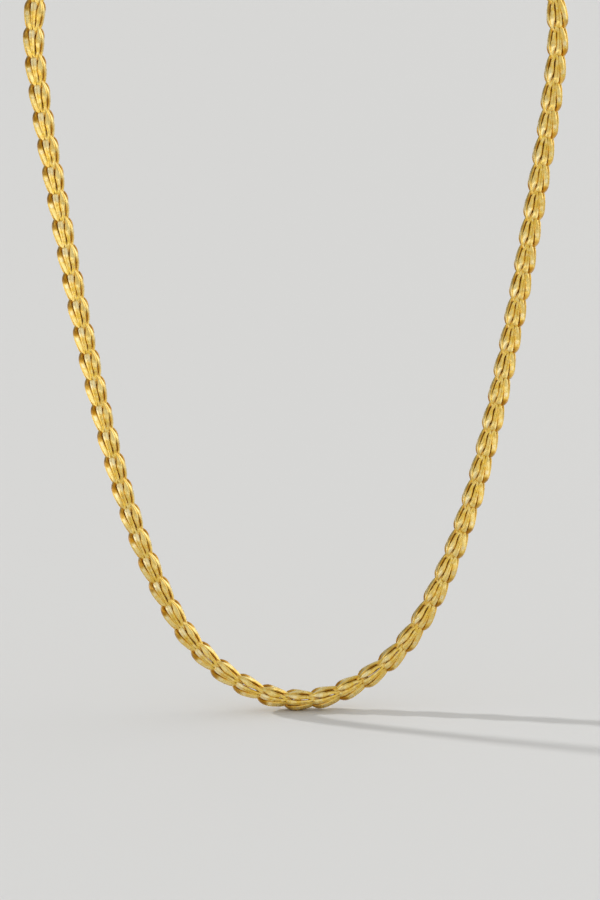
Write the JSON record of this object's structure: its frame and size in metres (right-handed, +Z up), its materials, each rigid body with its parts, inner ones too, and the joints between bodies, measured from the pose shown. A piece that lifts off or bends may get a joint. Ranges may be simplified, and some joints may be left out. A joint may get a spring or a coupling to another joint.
{
  "type": "chain necklace",
  "caption": "Hanging gold chain necklace of folded, interlocked wire links in two crossed rows, closed by a plain barrel clasp.",
  "frame": {"origin": "underside of the clasp's barrel at the middle of the nape, where the loop rests on what it hangs from", "axes": "+Z up with the loop hanging down along -Z, the front of the chain towards -Y, +X to the right as seen from the front"},
  "size_m": [0.1072, 0.0052, 0.1754],
  "materials": {
    "chain_gold": "polished yellow gold, diamond-cut",
    "clasp_gold": "polished yellow gold"
  },
  "bodies": {
    "root": {"chain_left": "chain_gold", "chain_right": "chain_gold", "clasp": "clasp_gold"}
  },
  "joints": []
}
